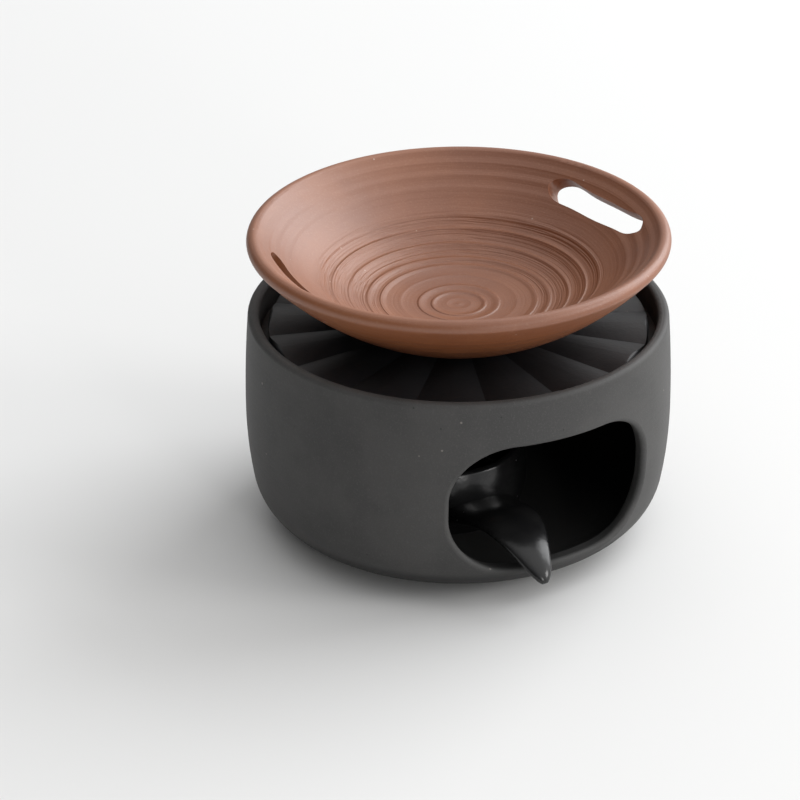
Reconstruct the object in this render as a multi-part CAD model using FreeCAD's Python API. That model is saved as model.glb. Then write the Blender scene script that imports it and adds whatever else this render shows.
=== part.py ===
import FreeCAD, Part
import os
from math import asin, atan, atan2, cos, degrees, hypot, pi, radians, sin, sqrt, tan
from FreeCAD import Vector

# A round stoneware warmer for a teapot or a small roasting dish. A glazed candle holder
# stands on the chamber floor, reached through the front window, and its flame heats a
# loose lobed plate that lies on a ledge below the rim. Lengths are millimetres, Z is up,
# the origin is the middle of the underside, and the window faces -Y.

# Stove body, one piece of matt stoneware
body_radius = 62.5        # widest radius
belly_height = 37.0       # where the wall is widest
body_height = 66.6
rim_draw = 1.25           # how far the wall leans in between the belly and the rim
belly_arc = 125.0         # radius of the wall's curve below the belly
corner_round = 16.25      # radius of the lower corner, seen from the side
base_radius = 36.4        # radius of the flat underside
base_slope = 13.7         # degrees, from the flat underside out to the lower corner
wall = 4.0
rim_wall = 3.3            # the wall beside the plate's pocket
rim_round = 1.3

# Window in the front wall
window_width = 62.4
window_bottom = 11.9
window_top = 52.5
window_upper_corner = 17.2
window_lower_corner = 19.0
window_round = 1.2        # softened edge on the outside
window_inner_round = 1.0

# Ledge and heat plate
plate_recess = 3.5        # the plate's highest lines below the rim
plate_thickness = 5.0
plate_gap = 2.6           # open ring between the plate and the rim
plate_lobes = 16
lobe_drop = 1.6           # how deep the creases between the lobes are at the edge
plate_turn = 3.0          # degrees, one crease from the window's middle
plate_edge_round = 1.2
heat_hole_radius = 14.0
ledge_width = 7.0         # from the pocket's wall inwards
ledge_edge = 3.0          # thickness of the ledge at its inner edge
ledge_slope = 8.0         # degrees, underside of the ledge

# Candle holder, one piece with its tongue handle
holder_shift = (-6.8, -2.6)
holder_turn = -1.2        # degrees about Z, the handle from the window's middle
holder_radius = 25.2
holder_curve = 24.0       # radius of the bulging side, seen from the side
holder_height = 20.5
holder_belly = 11.0       # height of the widest ring above the foot
holder_lip = 1.4          # radius of the rounded lip
holder_floor = 4.0
holder_bore = 20.8
holder_corner = 2.0
# Stations of the handle: reach from the holder's middle, height of the middle line above
# the holder's foot, half of the width, half of the thickness
handle_stations = (
    (21.0, 7.3, 13.0, 3.4),
    (29.0, 9.7, 11.3, 3.3),
    (37.0, 12.5, 10.2, 3.1),
    (44.0, 13.7, 9.1, 2.9),
    (50.0, 13.0, 7.8, 2.6),
    (56.0, 10.7, 5.9, 2.2),
    (60.5, 8.0, 4.1, 1.8),
    (63.2, 5.8, 2.5, 1.3),
    (64.5, 4.4, 0.9, 0.6),
)

# Roasting dish, hand thrown
dish_base_radius = 29.0
dish_radius = 61.4
dish_height = 26.96
dish_lip = 2.1            # radius of the rounded lip
dish_outer_sag = 2.1      # how far the outside bulges from a straight cone
dish_floor = 3.1          # at its middle, where it is lowest
dish_floor_edge = 5.4     # at the outermost ring of the floor
dish_wall_width = 20.4    # of the flaring wall, from the rim in to the bowl's round bottom
dish_step_rise = 13.0
dish_bottom_sag = 0.7
dish_wall_sag = 0.3
dish_lip_slope = 40.0     # degrees, inside wall just below the lip
floor_rings = (3.5, 7.5, 11.5, 17.0, 22.75, 26.75)  # radii of the throwing rings on the floor
bottom_rings = (32.2, 36.9)                         # and on the round bottom
ring_room = 3.0           # least room between a ring on the bottom and the wall
wall_rings = (12.9, 9.65, 6.4)  # fainter ones on the wall, from the rim inwards
floor_ring_depth = 0.18
bottom_ring_depth = 0.35
wall_ring_depth = 0.12
dish_lean = 0.47          # degrees, the lip against the base
dish_lean_turn = -14.8    # degrees from +X to the highest point of the lip
dish_shift = (1.8, 2.97)  # how far off the stove's middle the dish lies
slot_pitch = 47.0         # degrees, the cut goes down and outwards
slot_cut_length = 16.0    # of the cutter, well over the wall's thickness
# The two slots, cut freehand: degrees from +X, degrees of tilt along the wall, from the rim
# in to the slot's middle on the inside wall, and stations of the outline: place along the
# slot and half of its height there
slots = (
    (5.3, -3.0, 11.0, ((-21.8, 0.0), (-19.6, 2.6), (-12.0, 3.5), (0.0, 3.7), (12.0, 3.8),
                       (19.2, 3.2), (21.8, 0.0))),
    (178.9, -4.3, 10.6, ((-19.0, 0.0), (-17.0, 1.75), (-11.5, 2.3), (0.0, 2.5), (11.5, 2.3),
                         (17.0, 1.75), (19.0, 0.0))),
)

rest_gap = 0.3            # between the dish and the plate's highest lines

# Sizes that follow from the ones above
pocket_radius = body_radius - rim_draw - rim_wall
plate_radius = pocket_radius - plate_gap
plate_top = body_height - plate_recess
ledge_top = plate_top - plate_thickness
ledge_radius = pocket_radius - ledge_width
dish_step_radius = dish_radius - dish_wall_width
slope = radians(base_slope)
upper_rise = body_height - belly_height
upper_arc = (upper_rise ** 2 + rim_draw ** 2) / (2 * rim_draw)

# Where the belly's curve meets the lower corner, as an angle below level
corner_reach = (belly_height * cos(slope) - (body_radius - belly_arc - base_radius) * sin(slope)
                - corner_round)
corner_angle = asin(corner_reach / (belly_arc - corner_round)) - slope
corner_r = body_radius - belly_arc + (belly_arc - corner_round) * cos(corner_angle)
corner_z = belly_height - (belly_arc - corner_round) * sin(corner_angle)
floor_height = corner_z - corner_round + wall


def at(r, z):
    """A point of a section, r out from the axis."""
    return Vector(r, 0, z)


def on_arc(centre, radius, angle):
    return at(centre[0] + radius * cos(angle), centre[1] + radius * sin(angle))


def arc(centre, radius, start, end):
    middle = (start + end) / 2
    points = [on_arc(centre, radius, angle) for angle in (start, middle, end)]
    return Part.Arc(*points).toShape()


def bowed(start, end, sag):
    """An arc from start to end that bulges to the right of its way by sag."""
    way = end.sub(start)
    side = Vector(way.z, 0, -way.x)
    side.normalize()
    middle = start.add(end).multiply(0.5).add(side.multiply(sag))
    return Part.Arc(start, middle, end).toShape()


def line(*points):
    return [Part.makeLine(a, b) for a, b in zip(points, points[1:])]


def turned(edges):
    """Turn a closed section about the axis."""
    face = Part.Face(Part.Wire(edges))
    return face.revolve(Vector(0, 0, 0), Vector(0, 0, 1), 360)


def placed(shape, turn, shift):
    shape.rotate(Vector(0, 0, 0), Vector(0, 0, 1), turn)
    shape.translate(shift)
    return shape


def wall_arcs(inset, low_angle, top_height):
    """The wall's curve from the lower corner up to a height, moved inwards by inset."""
    belly = (body_radius - belly_arc, belly_height)
    upper = (body_radius - upper_arc, belly_height)
    top_angle = asin((top_height - belly_height) / (upper_arc - inset))
    return [arc((corner_r, corner_z), corner_round - inset, low_angle, -corner_angle),
            arc(belly, belly_arc - inset, -corner_angle, 0),
            arc(upper, upper_arc - inset, 0, top_angle)]


def stove_outside():
    low = slope - pi / 2
    curve = wall_arcs(0, low, body_height)
    low_end = on_arc((corner_r, corner_z), corner_round, low)
    rim = curve[-1].valueAt(curve[-1].LastParameter)
    bottom = line(at(0, 0), at(base_radius, 0), low_end)
    top = line(rim, at(0, body_height), at(0, 0))
    return turned(bottom + curve + top)


def chamber():
    """The inside: the chamber, the ledge's opening and the pocket for the plate."""
    edge_bottom = ledge_top - ledge_edge
    curve_radius = upper_arc - wall
    root_radius = body_radius - upper_arc + curve_radius
    root_height = edge_bottom - (root_radius - ledge_radius) * tan(radians(ledge_slope))
    curve = wall_arcs(wall, -pi / 2, root_height)
    root = curve[-1].valueAt(curve[-1].LastParameter)
    floor = line(at(0, floor_height), at(corner_r, floor_height))
    top = line(root, at(ledge_radius, edge_bottom), at(ledge_radius, ledge_top),
               at(pocket_radius, ledge_top), at(pocket_radius, body_height + 1),
               at(0, body_height + 1), at(0, floor_height))
    return turned(floor + curve + top)


def rounded_window(half_width, low, high):
    """The window's outline, facing along Y."""
    upper, lower = high - window_upper_corner, low + window_lower_corner
    upper_x, lower_x = half_width - window_upper_corner, half_width - window_lower_corner
    wire = line(at(-lower_x, low), at(lower_x, low))
    wire += [arc((lower_x, lower), window_lower_corner, -pi / 2, 0)]
    wire += line(at(half_width, lower), at(half_width, upper))
    wire += [arc((upper_x, upper), window_upper_corner, 0, pi / 2)]
    wire += line(at(upper_x, high), at(-upper_x, high))
    wire += [arc((-upper_x, upper), window_upper_corner, pi / 2, pi)]
    wire += line(at(-half_width, upper), at(-half_width, lower))
    wire += [arc((-lower_x, lower), window_lower_corner, pi, 3 * pi / 2)]
    return Part.Face(Part.Wire(wire))


def window_cut():
    face = rounded_window(window_width / 2, window_bottom, window_top)
    face.translate(Vector(0, -2 * body_radius, 0))
    return face.extrude(Vector(0, 1.5 * body_radius, 0))


def outside_radius(height):
    """The radius of the wall's outside at a height."""
    if height > belly_height:
        centre_r, centre_z, radius = body_radius - upper_arc, belly_height, upper_arc
    elif height > corner_z - corner_round * sin(corner_angle):
        centre_r, centre_z, radius = body_radius - belly_arc, belly_height, belly_arc
    else:
        centre_r, centre_z, radius = corner_r, corner_z, corner_round
    return centre_r + sqrt(radius ** 2 - (height - centre_z) ** 2)


def window_edges(body, outer):
    """The edges that run round the window, on the outside or on the inside of the wall."""
    found = []
    for edge in body.Edges:
        ends = [vertex.Point for vertex in edge.Vertexes]
        middle = edge.valueAt((edge.FirstParameter + edge.LastParameter) / 2)
        points = ends + [middle]
        near = all(p.y < -body_radius / 2 and abs(p.x) < window_width / 2 + 0.01
                   and window_bottom - 0.01 < p.z < window_top + 0.01 for p in points)
        if not near or hypot(ends[0].x - ends[-1].x, ends[0].z - ends[-1].z) < 0.01:
            continue
        is_outer = hypot(middle.x, middle.y) > outside_radius(middle.z) - wall / 2
        if is_outer == outer:
            found.append(edge)
    return found


def is_rim_edge(edge):
    circle = edge.Curve
    return isinstance(circle, Part.Circle) and abs(circle.Center.z - body_height) < 0.01


def make_stove_body():
    body = stove_outside().cut(chamber())
    body = body.makeFillet(rim_round, [edge for edge in body.Edges if is_rim_edge(edge)])
    body = body.cut(window_cut())
    body = body.makeFillet(window_round, window_edges(body, True))
    return body.makeFillet(window_inner_round, window_edges(body, False))


def make_heat_plate():
    """A disc whose top is a ring of cone-shaped lobes that all start at its middle."""
    half = pi / plate_lobes
    drop = atan(lobe_drop / plate_radius)
    spread = atan((1 - cos(drop) * cos(half)) / sin(drop))
    section = line(at(0, 0), at(plate_radius, 0), at(plate_radius, plate_thickness - plate_edge_round))
    section += [arc((plate_radius - plate_edge_round, plate_thickness - plate_edge_round),
                    plate_edge_round, 0, pi / 2)]
    section += line(at(plate_radius - plate_edge_round, plate_thickness), at(0, plate_thickness), at(0, 0))
    face = Part.Face(Part.Wire(section))
    wedge = face.revolve(Vector(0, 0, 0), Vector(0, 0, 1), degrees(2 * half))
    wedge.rotate(Vector(0, 0, 0), Vector(0, 0, 1), -degrees(half))
    length = 2 * plate_radius
    lobe = Part.makeCone(0, length * tan(spread), length, at(0, plate_thickness),
                         Vector(cos(spread), 0, -sin(spread)))
    wedge = wedge.common(lobe)
    lobes = []
    for index in range(plate_lobes):
        copy = wedge.copy()
        copy.rotate(Vector(0, 0, 0), Vector(0, 0, 1), degrees((2 * index + 1) * half))
        lobes.append(copy)
    plate = lobes[0].fuse(lobes[1:]).removeSplitter()
    hole = Part.makeCylinder(heat_hole_radius, 3 * plate_thickness, at(0, -plate_thickness))
    plate = plate.cut(hole)
    return placed(plate, plate_turn - 90, Vector(0, 0, ledge_top))


def holder_bowl():
    centre = (holder_radius - holder_curve, holder_belly)
    foot_angle = asin(-holder_belly / holder_curve)
    lip_centre_z = holder_height - holder_lip
    lip_angle = asin((lip_centre_z - holder_belly) / (holder_curve - holder_lip))
    lip_centre_r = centre[0] + (holder_curve - holder_lip) * cos(lip_angle)
    lip = Part.Arc(on_arc(centre, holder_curve, lip_angle),
                   on_arc((lip_centre_r, lip_centre_z), holder_lip, (lip_angle + pi / 2) / 2),
                   at(lip_centre_r, holder_height)).toShape()
    inner_round = lip_centre_r - holder_bore
    section = line(at(0, 0), on_arc(centre, holder_curve, foot_angle))
    section += [arc(centre, holder_curve, foot_angle, lip_angle), lip]
    section += [arc((lip_centre_r, holder_height - inner_round), inner_round, pi / 2, pi)]
    section += line(at(holder_bore, holder_height - inner_round), at(holder_bore, holder_floor + holder_corner))
    section += [arc((holder_bore - holder_corner, holder_floor + holder_corner), holder_corner, 0, -pi / 2)]
    section += line(at(holder_bore - holder_corner, holder_floor), at(0, holder_floor), at(0, 0))
    return turned(section)


def handle_section(index):
    """An oval across the handle, square to its middle line."""
    reach, rise, half_width, half_thickness = handle_stations[index]
    before = handle_stations[max(index - 1, 0)]
    after = handle_stations[min(index + 1, len(handle_stations) - 1)]
    lean = atan2(after[1] - before[1], after[0] - before[0])
    up = Vector(0, sin(lean), cos(lean))
    centre = Vector(0, -reach, rise)
    ellipse = Part.Ellipse(centre + Vector(half_width, 0, 0), centre + up * half_thickness, centre)
    return Part.Wire(ellipse.toShape())


def make_candle_holder():
    bowl = holder_bowl()
    handle = Part.makeLoft([handle_section(index) for index in range(len(handle_stations))], True, False)
    inside = Part.makeCylinder(holder_bore + holder_lip, 2 * holder_height)
    holder = bowl.fuse(handle.cut(inside)).removeSplitter()
    return placed(holder, holder_turn, Vector(holder_shift[0], holder_shift[1], floor_height))


def arc_point(circle, r):
    """The point of the inside's curve at a distance r from the axis."""
    return at(r, circle.Center.z - sqrt(circle.Radius ** 2 - (r - circle.Center.x) ** 2))


def ring_hollows(points, depth):
    """Shallow hollows between neighbouring points, cut towards the outside of the dish."""
    return [bowed(start, end, depth) for start, end in zip(points, points[1:])]


def dish_lip_point(angle):
    """A point of the rounded lip, at an angle above level."""
    return on_arc((dish_radius - dish_lip, dish_height - dish_lip), dish_lip, angle)


def dish_wall_curve():
    """The inside of the flaring wall, without its rings."""
    step = at(dish_step_radius, dish_step_rise)
    return bowed(step, dish_lip_point(pi / 2 + radians(dish_lip_slope)), dish_wall_sag).Curve


def dish_floor_point(r):
    """A point of the dished floor, without its rings."""
    return at(r, dish_floor + (dish_floor_edge - dish_floor) * (r / floor_rings[-1]) ** 2)


def dish_section():
    lip_centre = (dish_radius - dish_lip, dish_height - dish_lip)
    low_angle = radians(dish_lip_slope) - pi / 2
    high_angle = radians(dish_lip_slope) + pi / 2
    outside = bowed(at(dish_base_radius, 0), dish_lip_point(low_angle), dish_outer_sag)
    crown = arc(lip_centre, dish_lip, low_angle, high_angle)
    step = at(dish_step_radius, dish_step_rise)
    bottom = bowed(at(floor_rings[-1], dish_floor_edge), step, dish_bottom_sag).Curve
    floor_points = [dish_floor_point(r) for r in (0,) + floor_rings]
    bottom_points = [arc_point(bottom, r) for r in bottom_rings if r < dish_step_radius - ring_room]
    wall_points = [arc_point(dish_wall_curve(), dish_radius - inset) for inset in wall_rings]
    rings = ring_hollows(floor_points, floor_ring_depth)
    rings += ring_hollows([floor_points[-1]] + bottom_points + [step], bottom_ring_depth)
    rings += ring_hollows([step] + wall_points + [dish_lip_point(high_angle)], wall_ring_depth)
    return line(at(0, dish_floor), at(0, 0), at(dish_base_radius, 0)) + [outside, crown] + rings


def slot_cut(turn, tilt, inset, stations):
    """A leaf-shaped slot through the wall, cut about square to it."""
    upper = [Vector(0, place, half) for place, half in stations]
    lower = [Vector(0, place, -half) for place, half in reversed(stations[1:-1])]
    outline = Part.BSplineCurve()
    outline.interpolate(Points=upper + lower, PeriodicFlag=True)
    cut = Part.Face(Part.Wire(outline.toShape())).extrude(Vector(slot_cut_length, 0, 0))
    cut.translate(Vector(-slot_cut_length / 2, 0, 0))
    cut.rotate(Vector(0, 0, 0), Vector(1, 0, 0), tilt)
    cut.rotate(Vector(0, 0, 0), Vector(0, 1, 0), slot_pitch)
    cut.translate(arc_point(dish_wall_curve(), dish_radius - inset))
    cut.rotate(Vector(0, 0, 0), Vector(0, 0, 1), turn)
    return cut


def make_roasting_dish():
    dish = turned(dish_section())
    for slot in slots:
        dish = dish.cut(slot_cut(*slot))
    uphill = radians(dish_lean_turn)
    dish.rotate(Vector(0, 0, 0), Vector(sin(uphill), -cos(uphill), 0), dish_lean)
    sink = dish_base_radius * sin(radians(dish_lean))
    below = Part.makeCylinder(2 * dish_radius, dish_height, at(0, sink - dish_height))
    dish = dish.cut(below)
    dish.translate(Vector(dish_shift[0], dish_shift[1], plate_top + rest_gap - sink))
    return dish


pieces = {
    "stove_body": make_stove_body,
    "heat_plate": make_heat_plate,
    "candle_holder": make_candle_holder,
    "roasting_dish": make_roasting_dish,
}

os.makedirs("parts", exist_ok=True)
for name, make in pieces.items():
    shape = make()
    box = shape.BoundBox
    print(name, "solids", len(shape.Solids), "valid", shape.isValid(), "volume", round(shape.Volume),
          "z", round(box.ZMin, 2), round(box.ZMax, 2), "x", round(box.XMin, 2), round(box.XMax, 2),
          "y", round(box.YMin, 2), round(box.YMax, 2))
    shape.exportStep("parts/" + name + ".step")
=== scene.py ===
import bpy
from math import cos, radians, sin
from mathutils import Matrix, Vector

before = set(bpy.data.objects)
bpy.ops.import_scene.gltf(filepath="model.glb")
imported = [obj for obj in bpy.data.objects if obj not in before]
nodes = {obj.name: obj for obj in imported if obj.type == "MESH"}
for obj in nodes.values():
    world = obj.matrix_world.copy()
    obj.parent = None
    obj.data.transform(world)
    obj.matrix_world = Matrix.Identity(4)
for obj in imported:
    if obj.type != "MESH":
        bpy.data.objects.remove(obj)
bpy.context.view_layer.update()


# The view. The camera looks down on the set from about 28 degrees, with the stove's
# window turned a little to the right, through a long lens.
window_turn = radians(-28.55)
camera_pitch, camera_yaw, camera_roll = radians(27.71), radians(-1.10), radians(-0.19)
camera_place = Vector((0, -0.88873, 0.50303))
forward = Vector((sin(camera_yaw) * cos(camera_pitch), cos(camera_yaw) * cos(camera_pitch),
                  -sin(camera_pitch)))
level = Vector((cos(camera_yaw), -sin(camera_yaw), 0))
upward = level.cross(forward)
right = level * cos(camera_roll) + upward * sin(camera_roll)
top = upward * cos(camera_roll) - level * sin(camera_roll)
aim = Matrix((right, top, -forward)).transposed().to_4x4()
aim.translation = camera_place
focal_length, picture_width = 3400, 800  # both in pixels of the picture
camera = bpy.data.cameras.new("camera")
camera.sensor_width = 36
camera.lens = focal_length * camera.sensor_width / picture_width
camera_object = bpy.data.objects.new("camera", camera)
camera_object.matrix_world = Matrix.Rotation(window_turn, 4, "Z") @ aim
bpy.context.scene.collection.objects.link(camera_object)
bpy.context.scene.camera = camera_object
bpy.context.scene.view_settings.view_transform = "Standard"


# The stove. One thick-walled piece of matt black stoneware, turned on a wheel, with the
# window cut through its wall before firing. The clay is faintly mottled and gritty, with
# fine turning lines and a few pale specks, and the chamber's inside has painted shade.
class Wire:
    """A socket of a node tree, on which sums are written as Python expressions."""

    def __init__(self, tree, socket=None):
        self.tree, self.socket = tree, socket

    def node(self, kind, settings=None, **sockets):
        """Adds a node, with its settings first, then the values or links of its sockets."""
        node = self.tree.nodes.new("ShaderNode" + kind)
        for name, value in (settings or {}).items():
            setattr(node, name, value)
        for name, value in sockets.items():
            name = name.replace("_", " ")
            if name[:1] == "s" and name[1:].isdigit():
                socket = node.inputs[int(name[1:])]
            else:
                socket = next(s for s in node.inputs if s.name == name and s.enabled)
            if isinstance(value, Wire):
                self.tree.links.new(value.socket, socket)
            else:
                socket.default_value = value
        return Wire(self.tree, next(s for s in node.outputs if s.enabled))

    def out(self, name):
        """Another output of the same node."""
        return Wire(self.tree, self.socket.node.outputs[name])

    def sum(self, operation, other):
        return self.node("Math", {"operation": operation}, s0=self, s1=other)

    def __add__(self, other):
        return self.sum("ADD", other)

    def __sub__(self, other):
        return self.sum("SUBTRACT", other)

    def __mul__(self, other):
        if isinstance(other, tuple):
            return self.node("VectorMath", {"operation": "MULTIPLY"}, s0=self, s1=other)
        return self.sum("MULTIPLY", other)

    __radd__, __rmul__ = __add__, __mul__

    def radius(self):
        """The distance of a position from the Z axis."""
        return self.node("VectorMath", {"operation": "LENGTH"}, s0=self * (1, 1, 0))

    def between(self, low, high):
        """0 below low, 1 above high, and smooth in between. It falls where high is the lower."""
        return self.node("MapRange", {"interpolation_type": "SMOOTHSTEP"}, Value=self,
                         From_Min=low, From_Max=high)

    def tint(self, share, other):
        """This colour mixed with a share of another, a plain tuple."""
        return self.node("Mix", {"data_type": "RGBA"}, Factor=share, A=self, B=(*other, 1))


def new_material(name):
    """A material, the position on its piece as a wire, and its shader."""
    material = bpy.data.materials.new(name)
    material.use_nodes = True
    tree = material.node_tree
    place = Wire(tree).node("TexCoord").out("Object")
    return material, place, tree.nodes["Principled BSDF"]


def connect(shader, **sockets):
    """Links wires to the shader's sockets, and sets plain values on them."""
    for name, value in sockets.items():
        socket = shader.inputs[name.replace("_", " ")]
        if isinstance(value, Wire):
            value.tree.links.new(value.socket, socket)
        else:
            socket.default_value = value


def coat(name, material):
    """Gives a piece its one material."""
    slots = nodes[name].data.materials
    slots.clear()
    slots.append(material)


def noise(place, scale, detail=2.0, roughness=0.5, stretch=(1, 1, 1)):
    """Cloudy noise from 0 to 1, with scale cells in a metre."""
    if stretch != (1, 1, 1):
        place = place.node("Mapping", None, Vector=place, Scale=stretch)
    return place.node("TexNoise", None, Vector=place, Scale=scale, Detail=detail, Roughness=roughness)


def specks(place, scale, size, share):
    """1 in small round specks, one in a share of the cells of a lattice, and 0 elsewhere."""
    cells = place.node("TexVoronoi", None, Vector=place, Scale=scale)
    pick = place.node("SeparateColor", None, Color=cells.out("Color")).out("Red")
    return cells.out("Distance").between(size, size * 0.55) * pick.between(1 - share, 1 - share + 0.001)


def color(place, rgb):
    """A plain colour as a wire."""
    wire = place.node("RGB")
    wire.socket.default_value = (*rgb, 1)
    return wire


stoneware, place, shader = new_material("black stoneware")
height = place.node("SeparateXYZ", None, Vector=place).out("Z")
clouds = noise(place, 38, 4, 0.6)
grit = noise(place, 1900, 3, 0.7)
turning = noise(place, 1, 3, 0.6, (22, 22, 900))
pale = specks(place, 210, 0.10, 0.10)
dark = specks(place, 330, 0.12, 0.12)
tone = color(place, (0.040, 0.0392, 0.0385)).tint(clouds.between(0.38, 0.66), (0.055, 0.0535, 0.052))
tone = tone.tint(grit.between(0.50, 0.72) * 0.45, (0.085, 0.082, 0.080))
tone = tone.tint(pale * 0.7, (0.22, 0.20, 0.18))
tone = tone.tint(dark * 0.6, (0.010, 0.010, 0.010))
# Painted shade: the chamber's inside is darkened, inside the wall and below the rim, to stand in for the
# little light that gets in there.
painted_chamber_shade = place.radius().between(0.0595, 0.0575) * height.between(0.0590, 0.0560)  # the chamber
tone = tone.tint(painted_chamber_shade * 0.75, (0.010, 0.010, 0.010))
relief = grit * 0.7 + turning * 0.8 + clouds * 0.6 - dark * 0.6 + pale * 0.3
bump = place.node("Bump", None, Strength=0.5, Distance=0.00012, Height=relief)
connect(shader, Base_Color=tone, Roughness=0.60 + clouds * 0.12 - turning * 0.06, Normal=bump)
coat("stove_body", stoneware)


# The heat plate. A loose disc of the same clay under a thin black satin glaze, pressed
# into sixteen cushion-shaped lobes. It lies on the ledge inside the rim.
glaze, place, shader = new_material("black satin glaze")
clouds = noise(place, 60, 3)
skin = noise(place, 700, 2, 0.6)
dust = specks(place, 420, 0.09, 0.08)
tone = color(place, (0.006, 0.0068, 0.0085)).tint(clouds.between(0.35, 0.7), (0.011, 0.012, 0.014))
tone = tone.tint(dust * 0.5, (0.20, 0.20, 0.20))
bump = place.node("Bump", None, Strength=0.3, Distance=0.0002, Height=skin + clouds * 0.8)
connect(shader, Base_Color=tone, Roughness=0.47 + clouds * 0.10 + dust * 0.3, Normal=bump)
coat("heat_plate", glaze)


# The candle holder. A small thick bowl, one piece with its tongue handle, under a glossier
# coat of the same black glaze. It only stands on the chamber's floor.
gloss, place, shader = new_material("black gloss glaze")
clouds = noise(place, 90, 3)
skin = noise(place, 520, 2, 0.5)
dust = specks(place, 380, 0.09, 0.10)
tone = color(place, (0.008, 0.008, 0.0085)).tint(clouds.between(0.35, 0.7), (0.014, 0.014, 0.014))
tone = tone.tint(dust * 0.6, (0.25, 0.25, 0.25))
bump = place.node("Bump", None, Strength=0.25, Distance=0.0002, Height=skin + clouds)
connect(shader, Base_Color=tone, Roughness=0.20 + clouds * 0.08 + dust * 0.3, Normal=bump)
coat("candle_holder", gloss)


# The roasting dish. Thrown by hand from unglazed red-brown clay, so that soft ridges run
# round its inside, a little off their circles, and two finger slots are cut through its
# wall. It only rests on the plate, a few millimetres off the stove's middle.
clay, place, shader = new_material("red clay")
dish_middle = Vector((0.0018, 0.00297, 0))
centred = place.node("VectorMath", {"operation": "SUBTRACT"}, s0=place, s1=dish_middle)
sway = noise(centred, 22, 1, 0.4)
thrown_radius = centred.radius() + (sway - 0.5) * 0.0016


def ridges(*sizes):
    """The sum of throwing ridges, each 1 at its radius, with the widths of its inner side,
    which is gentle, and of its outer side, which is steeper."""
    return sum(thrown_radius.between(radius - inner, radius) * thrown_radius.between(radius + outer, radius)
               for radius, inner, outer in sizes)


on_bottom = ridges((0.0405, 0.0020, 0.0008), (0.0367, 0.0024, 0.0007), (0.0320, 0.0026, 0.0007),
                   (0.0265, 0.0024, 0.0006), (0.0227, 0.0018, 0.0005), (0.0114, 0.0030, 0.0007),
                   (0.0075, 0.0016, 0.0006))
on_wall = ridges((0.0552, 0.0022, 0.0012), (0.0520, 0.0020, 0.0012), (0.0484, 0.0024, 0.0012))
fading = noise(centred, 34, 2, 0.5).between(0.30, 0.62)
rings = on_bottom * (0.35 + fading * 0.65) + on_wall * 0.3
lines = centred.node("CombineXYZ", None, X=thrown_radius * 480, Y=sway * 3)
combing = noise(lines, 1.0, 3, 0.65).between(0.3, 0.7)
combed = thrown_radius.between(0.0225, 0.0250) * thrown_radius.between(0.0430, 0.0400) * 0.8 + 0.2
clouds = noise(place, 30, 4, 0.55)
grit = noise(place, 1600, 3, 0.7)
pale = specks(place, 260, 0.09, 0.14)
tone = color(place, (0.208, 0.060, 0.016)).tint(clouds.between(0.35, 0.68), (0.258, 0.081, 0.024))
tone = tone.tint(grit.between(0.5, 0.75) * 0.25, (0.38, 0.19, 0.10))
tone = tone.tint(pale * 0.5, (0.62, 0.50, 0.42))
relief = rings * 1.7 + combing * combed * 1.7 + clouds * 0.5 + grit * 0.22
bump = place.node("Bump", None, Strength=0.8, Distance=0.00022, Height=relief)
connect(shader, Base_Color=tone, Roughness=0.44 + clouds * 0.08, Normal=bump)
shader.inputs["Specular IOR Level"].default_value = 1.0
coat("roasting_dish", clay)


# The place. A plain pale table top under soft daylight from the right, as in a room with
# one large window, and a dim fill from all round. Two small lamps light up the glazes.
def daylight(name, spot, size, power, tone):
    """A square lamp aimed at the set. Its spot turns with the camera: right, away and up."""
    lamp = bpy.data.lights.new(name, "AREA")
    lamp.size, lamp.energy, lamp.color = size, power, tone
    holder = bpy.data.objects.new(name, lamp)
    holder.location = Matrix.Rotation(window_turn, 4, "Z") @ Vector(spot)
    toward = Vector((0, 0, 0.05)) - holder.location
    holder.rotation_euler = toward.to_track_quat("-Z", "Y").to_euler()
    bpy.context.scene.collection.objects.link(holder)


daylight("window light", (1.52, 1.28, 1.30), 1.9, 43, (0.97, 0.985, 1.0))
daylight("side light", (1.45, -0.34, 0.62), 0.45, 5.5, (1.0, 0.99, 0.98))
daylight("room light", (0.72, -1.40, 0.44), 0.22, 3.0, (1.0, 0.99, 0.98))

table, place, shader = new_material("pale table")
connect(shader, Base_Color=(0.78, 0.78, 0.775, 1), Roughness=0.8)
shader.inputs["Specular IOR Level"].default_value = 0.2
mesh = bpy.data.meshes.new("table")
half = 6.0
mesh.from_pydata([(-half, -half, 0), (half, -half, 0), (half, half, 0), (-half, half, 0)],
                 [], [(0, 1, 2, 3)])
mesh.materials.append(table)
floor = bpy.data.objects.new("table", mesh)
bpy.context.scene.collection.objects.link(floor)

world = bpy.data.worlds.new("room")
bpy.context.scene.world = world
world.use_nodes = True
background = world.node_tree.nodes["Background"]
direction = Wire(world.node_tree).node("TexCoord").out("Generated")
window_side = Matrix.Rotation(window_turn, 4, "Z") @ Vector((0.62, 0.24, 0.75))
facing = direction.node("VectorMath", {"operation": "DOT_PRODUCT"}, s0=direction, s1=window_side)
connect(background, Color=(1.0, 1.0, 1.0, 1), Strength=0.08 + facing.between(-0.26, 1.0) * 1.08)
